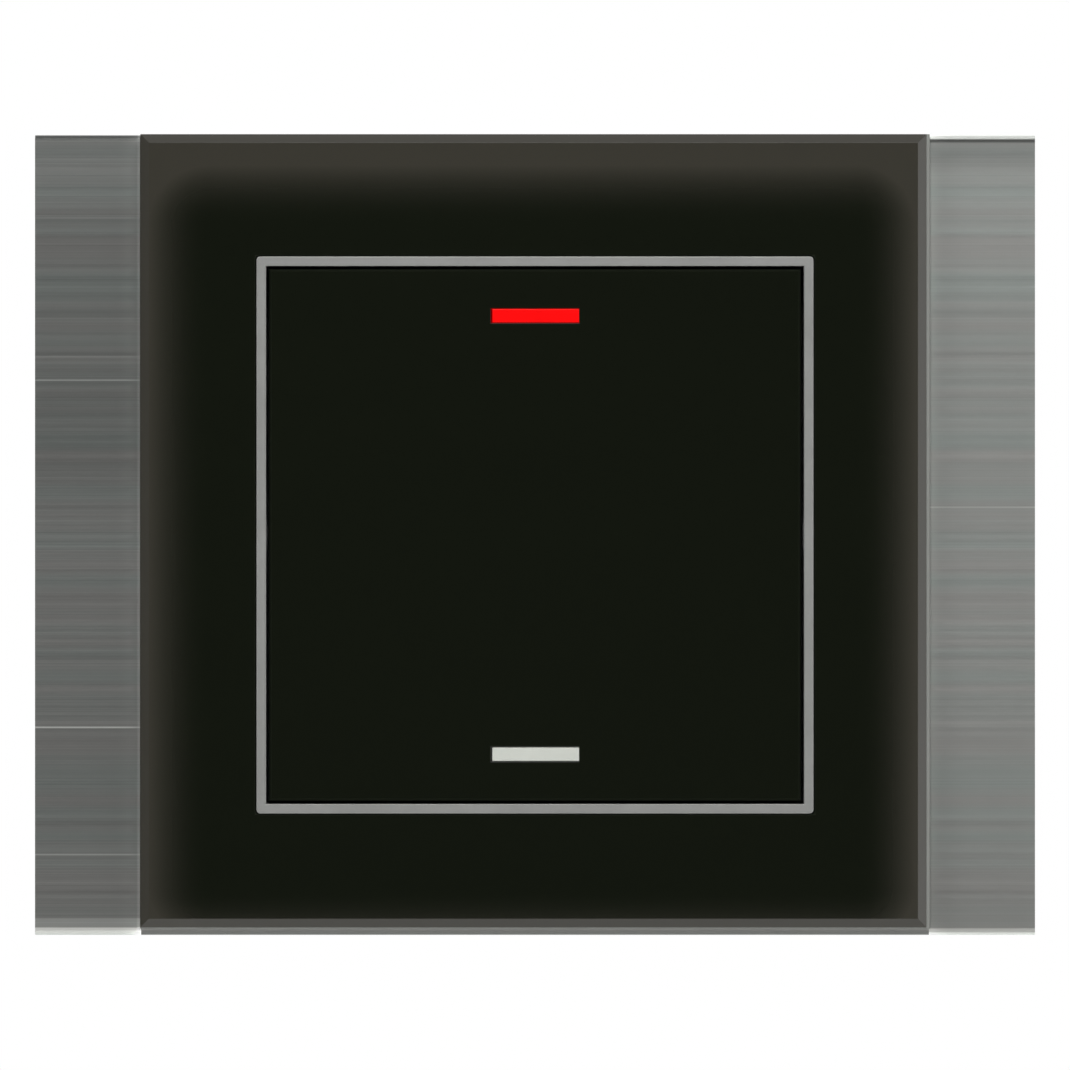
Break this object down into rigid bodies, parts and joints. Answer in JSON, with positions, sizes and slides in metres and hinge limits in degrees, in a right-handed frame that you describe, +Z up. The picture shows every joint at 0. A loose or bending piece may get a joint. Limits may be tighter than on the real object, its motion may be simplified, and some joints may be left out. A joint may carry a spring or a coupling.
{
  "type": "glass push-button switch",
  "caption": "Wall push-button switch: black glass plate on a brushed metal base with side wings, square glass rocking button in a metal ring, red and white indicator bars.",
  "frame": {"origin": "middle of the mounting bracket's rear face, on the wall plane, halfway between the two box screw slots", "axes": "+X to the right and +Z up as seen by the user, +Y into the wall, so the glass faces -Y"},
  "size_m": [0.1076, 0.035, 0.086],
  "materials": {
    "base_metal": "brushed along the width",
    "black_glass": "polished, printed black from behind",
    "bond_foam": "matte",
    "ring_metal": "satin",
    "dark_plastic": "matte",
    "screw_steel": "zinc plated",
    "bracket_steel": "zinc plated",
    "film": "gloss",
    "light_plastic": "fine matte",
    "board_green": "gloss lacquer",
    "led_red": "gloss",
    "led_white": "gloss",
    "chip_black": "matte",
    "pin_metal": "tinned",
    "housing_plastic": "fine matte",
    "contact_plastic": "matte",
    "copper_strip": "rolled",
    "silver_tip": "satin",
    "terminal_brass": "machined",
    "bar_red": "lit light guide",
    "bar_white": "light guide",
    "spring_steel": "bright wire"
  },
  "bodies": {
    "switch_body": {"metal_frame": "base_metal", "glass_frame_plate": "black_glass", "glass_bond_tape": "bond_foam", "trim_ring": "ring_metal", "clip_frame": "dark_plastic", "clip_frame_screws": "screw_steel", "support_bracket": "bracket_steel", "insulating_sheet": "film", "assembly_screws": "screw_steel", "insert_tray": "light_plastic", "pivot_pin_left": "screw_steel", "pivot_pin_right": "screw_steel", "led_board": "board_green", "red_led": "led_red", "white_led": "led_white", "led_resistors": "chip_black", "bridge_rectifier": "chip_black", "board_pins": "pin_metal", "rear_housing": "housing_plastic", "rear_cover": "housing_plastic", "rear_cover_screws": "screw_steel", "contact_base": "contact_plastic", "common_contact_strip": "copper_strip", "upper_contact_strip": "copper_strip", "lower_contact_strip": "copper_strip", "neutral_strip": "copper_strip", "fixed_contact_tips": "silver_tip", "live_terminal": "terminal_brass", "upper_output_terminal": "terminal_brass", "lower_output_terminal": "terminal_brass", "neutral_terminal": "terminal_brass", "terminal_screws": "screw_steel", "upper_return_spring": "spring_steel", "lower_return_spring": "spring_steel"},
    "rocker": {"button_glass": "black_glass", "button_bond": "bond_foam", "button_carrier": "dark_plastic", "upper_light_bar": "bar_red", "lower_light_bar": "bar_white"},
    "upper_plunger": {"upper_plunger": "light_plastic", "upper_contact_bridge": "copper_strip", "upper_bridge_tips": "silver_tip", "upper_bridge_clip": "spring_steel"},
    "lower_plunger": {"lower_plunger": "light_plastic", "lower_contact_bridge": "copper_strip", "lower_bridge_tips": "silver_tip", "lower_bridge_clip": "spring_steel"}
  },
  "joints": [
    {"name": "rocker_tilt", "type": "hinge", "parent": "switch_body", "child": "rocker", "pos_m": [0, -0.0049, 0], "axis": [-1, 0, 0], "range_deg": [-2.2, 2.2], "stiffness_Nm_per_rad": 1.3},
    {"name": "upper_plunger_slide", "type": "slide", "parent": "switch_body", "child": "upper_plunger", "axis": [0, 1, 0], "range_m": [-0.00058, 0.00058], "deforming": ["upper_return_spring"]},
    {"name": "lower_plunger_slide", "type": "slide", "parent": "switch_body", "child": "lower_plunger", "axis": [0, 1, 0], "range_m": [-0.00058, 0.00058], "deforming": ["lower_return_spring"]}
  ],
  "couplings": [
    {"joint": "upper_plunger_slide", "follows": "rocker_tilt", "m_per_rad": 0.015},
    {"joint": "lower_plunger_slide", "follows": "rocker_tilt", "m_per_rad": -0.015}
  ]
}
